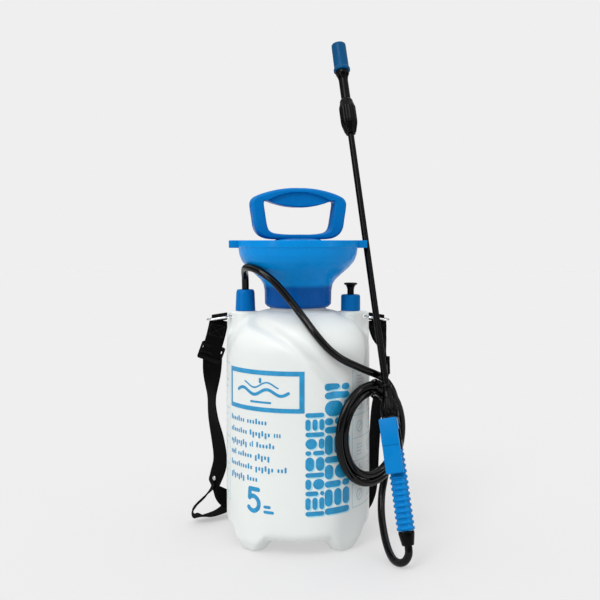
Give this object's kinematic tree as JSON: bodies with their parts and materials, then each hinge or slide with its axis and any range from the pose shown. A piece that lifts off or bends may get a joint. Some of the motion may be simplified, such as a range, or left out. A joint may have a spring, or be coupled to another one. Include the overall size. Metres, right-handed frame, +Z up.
{
  "type": "pump sprayer",
  "caption": "Free-standing compression sprayer: translucent tank with filling funnel, D-handle hand pump, hose, clipped spray lance with trigger grip, and shoulder strap.",
  "frame": {"origin": "centre of the tank's base, on the floor it stands on", "axes": "+Z up along the tank and pump axis, +X towards the side that carries the lance, -Y towards the printed front"},
  "size_m": [0.2823, 0.2334, 0.6406],
  "materials": {
    "white_plastic": "satin, translucent",
    "blue_plastic": "semi-gloss moulded",
    "black_plastic": "semi-gloss moulded",
    "natural_plastic": "satin",
    "seal_rubber": "matte",
    "hose_rubber": "glossy",
    "webbing": "woven",
    "bright_steel": "polished",
    "steel": "drawn"
  },
  "bodies": {
    "tank": {"tank_base": "white_plastic", "tank_wall": "white_plastic", "tank_shoulder": "white_plastic", "funnel": "blue_plastic", "neck_gasket": "seal_rubber", "outlet_cap": "blue_plastic", "outlet_fitting": "black_plastic", "outlet_seal": "seal_rubber", "dip_tube": "natural_plastic", "dip_filter": "black_plastic", "relief_cap": "blue_plastic", "relief_spring": "steel", "ring_left": "bright_steel", "ring_right": "bright_steel", "strap_end_left": "webbing", "strap_end_right": "webbing", "strap": "webbing", "strap_loop": "webbing", "slider_left": "black_plastic", "slider_right": "black_plastic", "strap_rivet": "bright_steel", "hose_run": "hose_rubber"},
    "pump": {"pump_barrel": "natural_plastic", "pump_cap": "blue_plastic", "pump_gasket": "seal_rubber", "check_valve": "seal_rubber"},
    "piston": {"piston": "black_plastic", "piston_seal": "seal_rubber"},
    "handle": {"handle": "blue_plastic", "pump_rod": "steel", "handle_pin": "steel"},
    "relief": {"relief_pin": "black_plastic", "relief_seal": "seal_rubber"},
    "lance": {"lance_tube": "black_plastic", "lance_seal": "seal_rubber", "union_nut": "black_plastic", "nozzle_stem": "black_plastic", "nozzle_seal": "seal_rubber", "lance_nut": "black_plastic", "valve_body": "black_plastic", "valve_plug": "black_plastic", "valve_spring": "steel", "grip": "blue_plastic", "grip_filter": "natural_plastic", "grip_cap": "black_plastic", "trigger_pin": "bright_steel", "hose_lead": "hose_rubber", "hose_coil": "hose_rubber", "hose_tail": "hose_rubber", "hose_tie": "hose_rubber"},
    "nozzle": {"nozzle_cap": "blue_plastic"},
    "trigger": {"trigger": "blue_plastic"},
    "valve": {"valve_stem": "bright_steel", "valve_seal": "seal_rubber"},
    "lock": {"trigger_lock": "black_plastic"}
  },
  "joints": [
    {"name": "pump_lift", "type": "slide", "parent": "tank", "child": "pump", "axis": [0, 0, 1], "range_m": [0, 0.28]},
    {"name": "pump_stroke", "type": "slide", "parent": "pump", "child": "piston", "axis": [0, 0, 1], "range_m": [0, 0.175]},
    {"name": "handle_turn", "type": "hinge", "parent": "piston", "child": "handle", "pos_m": [0, 0, 0.3], "axis": [0, 0, 1], "range_deg": [0, 90]},
    {"name": "relief_lift", "type": "slide", "parent": "tank", "child": "relief", "axis": [0, 0, 1], "range_m": [0, 0.004], "stiffness_N_per_m": 1500, "springref_m": -0.0075, "deforming": ["relief_spring"]},
    {"name": "lance_unclip", "type": "slide", "parent": "tank", "child": "lance", "axis": [1, 0, 0], "range_m": [0, 0.045]},
    {"name": "nozzle_turn", "type": "hinge", "parent": "lance", "child": "nozzle", "pos_m": [0.05721, 0.09057, 0.61372], "axis": [-0.1066, 0.3355, 0.936], "range_deg": [0, 270]},
    {"name": "trigger_pull", "type": "hinge", "parent": "lance", "child": "trigger", "pos_m": [0.10631, -0.08265, 0.15682], "axis": [0.9332, -0.2911, 0.2107], "range_deg": [0, 7], "stiffness_Nm_per_rad": 3, "springref_deg": -5.73},
    {"name": "valve_push", "type": "slide", "parent": "lance", "child": "valve", "axis": [0.3431, 0.8959, -0.282], "range_m": [0, 0.0021], "deforming": ["valve_spring"]},
    {"name": "lock_slide", "type": "slide", "parent": "lance", "child": "lock", "axis": [0.1066, -0.3355, -0.936], "range_m": [0, 0.003]}
  ],
  "couplings": [
    {"joint": "valve_push", "follows": "trigger_pull", "m_per_rad": 0.017}
  ]
}
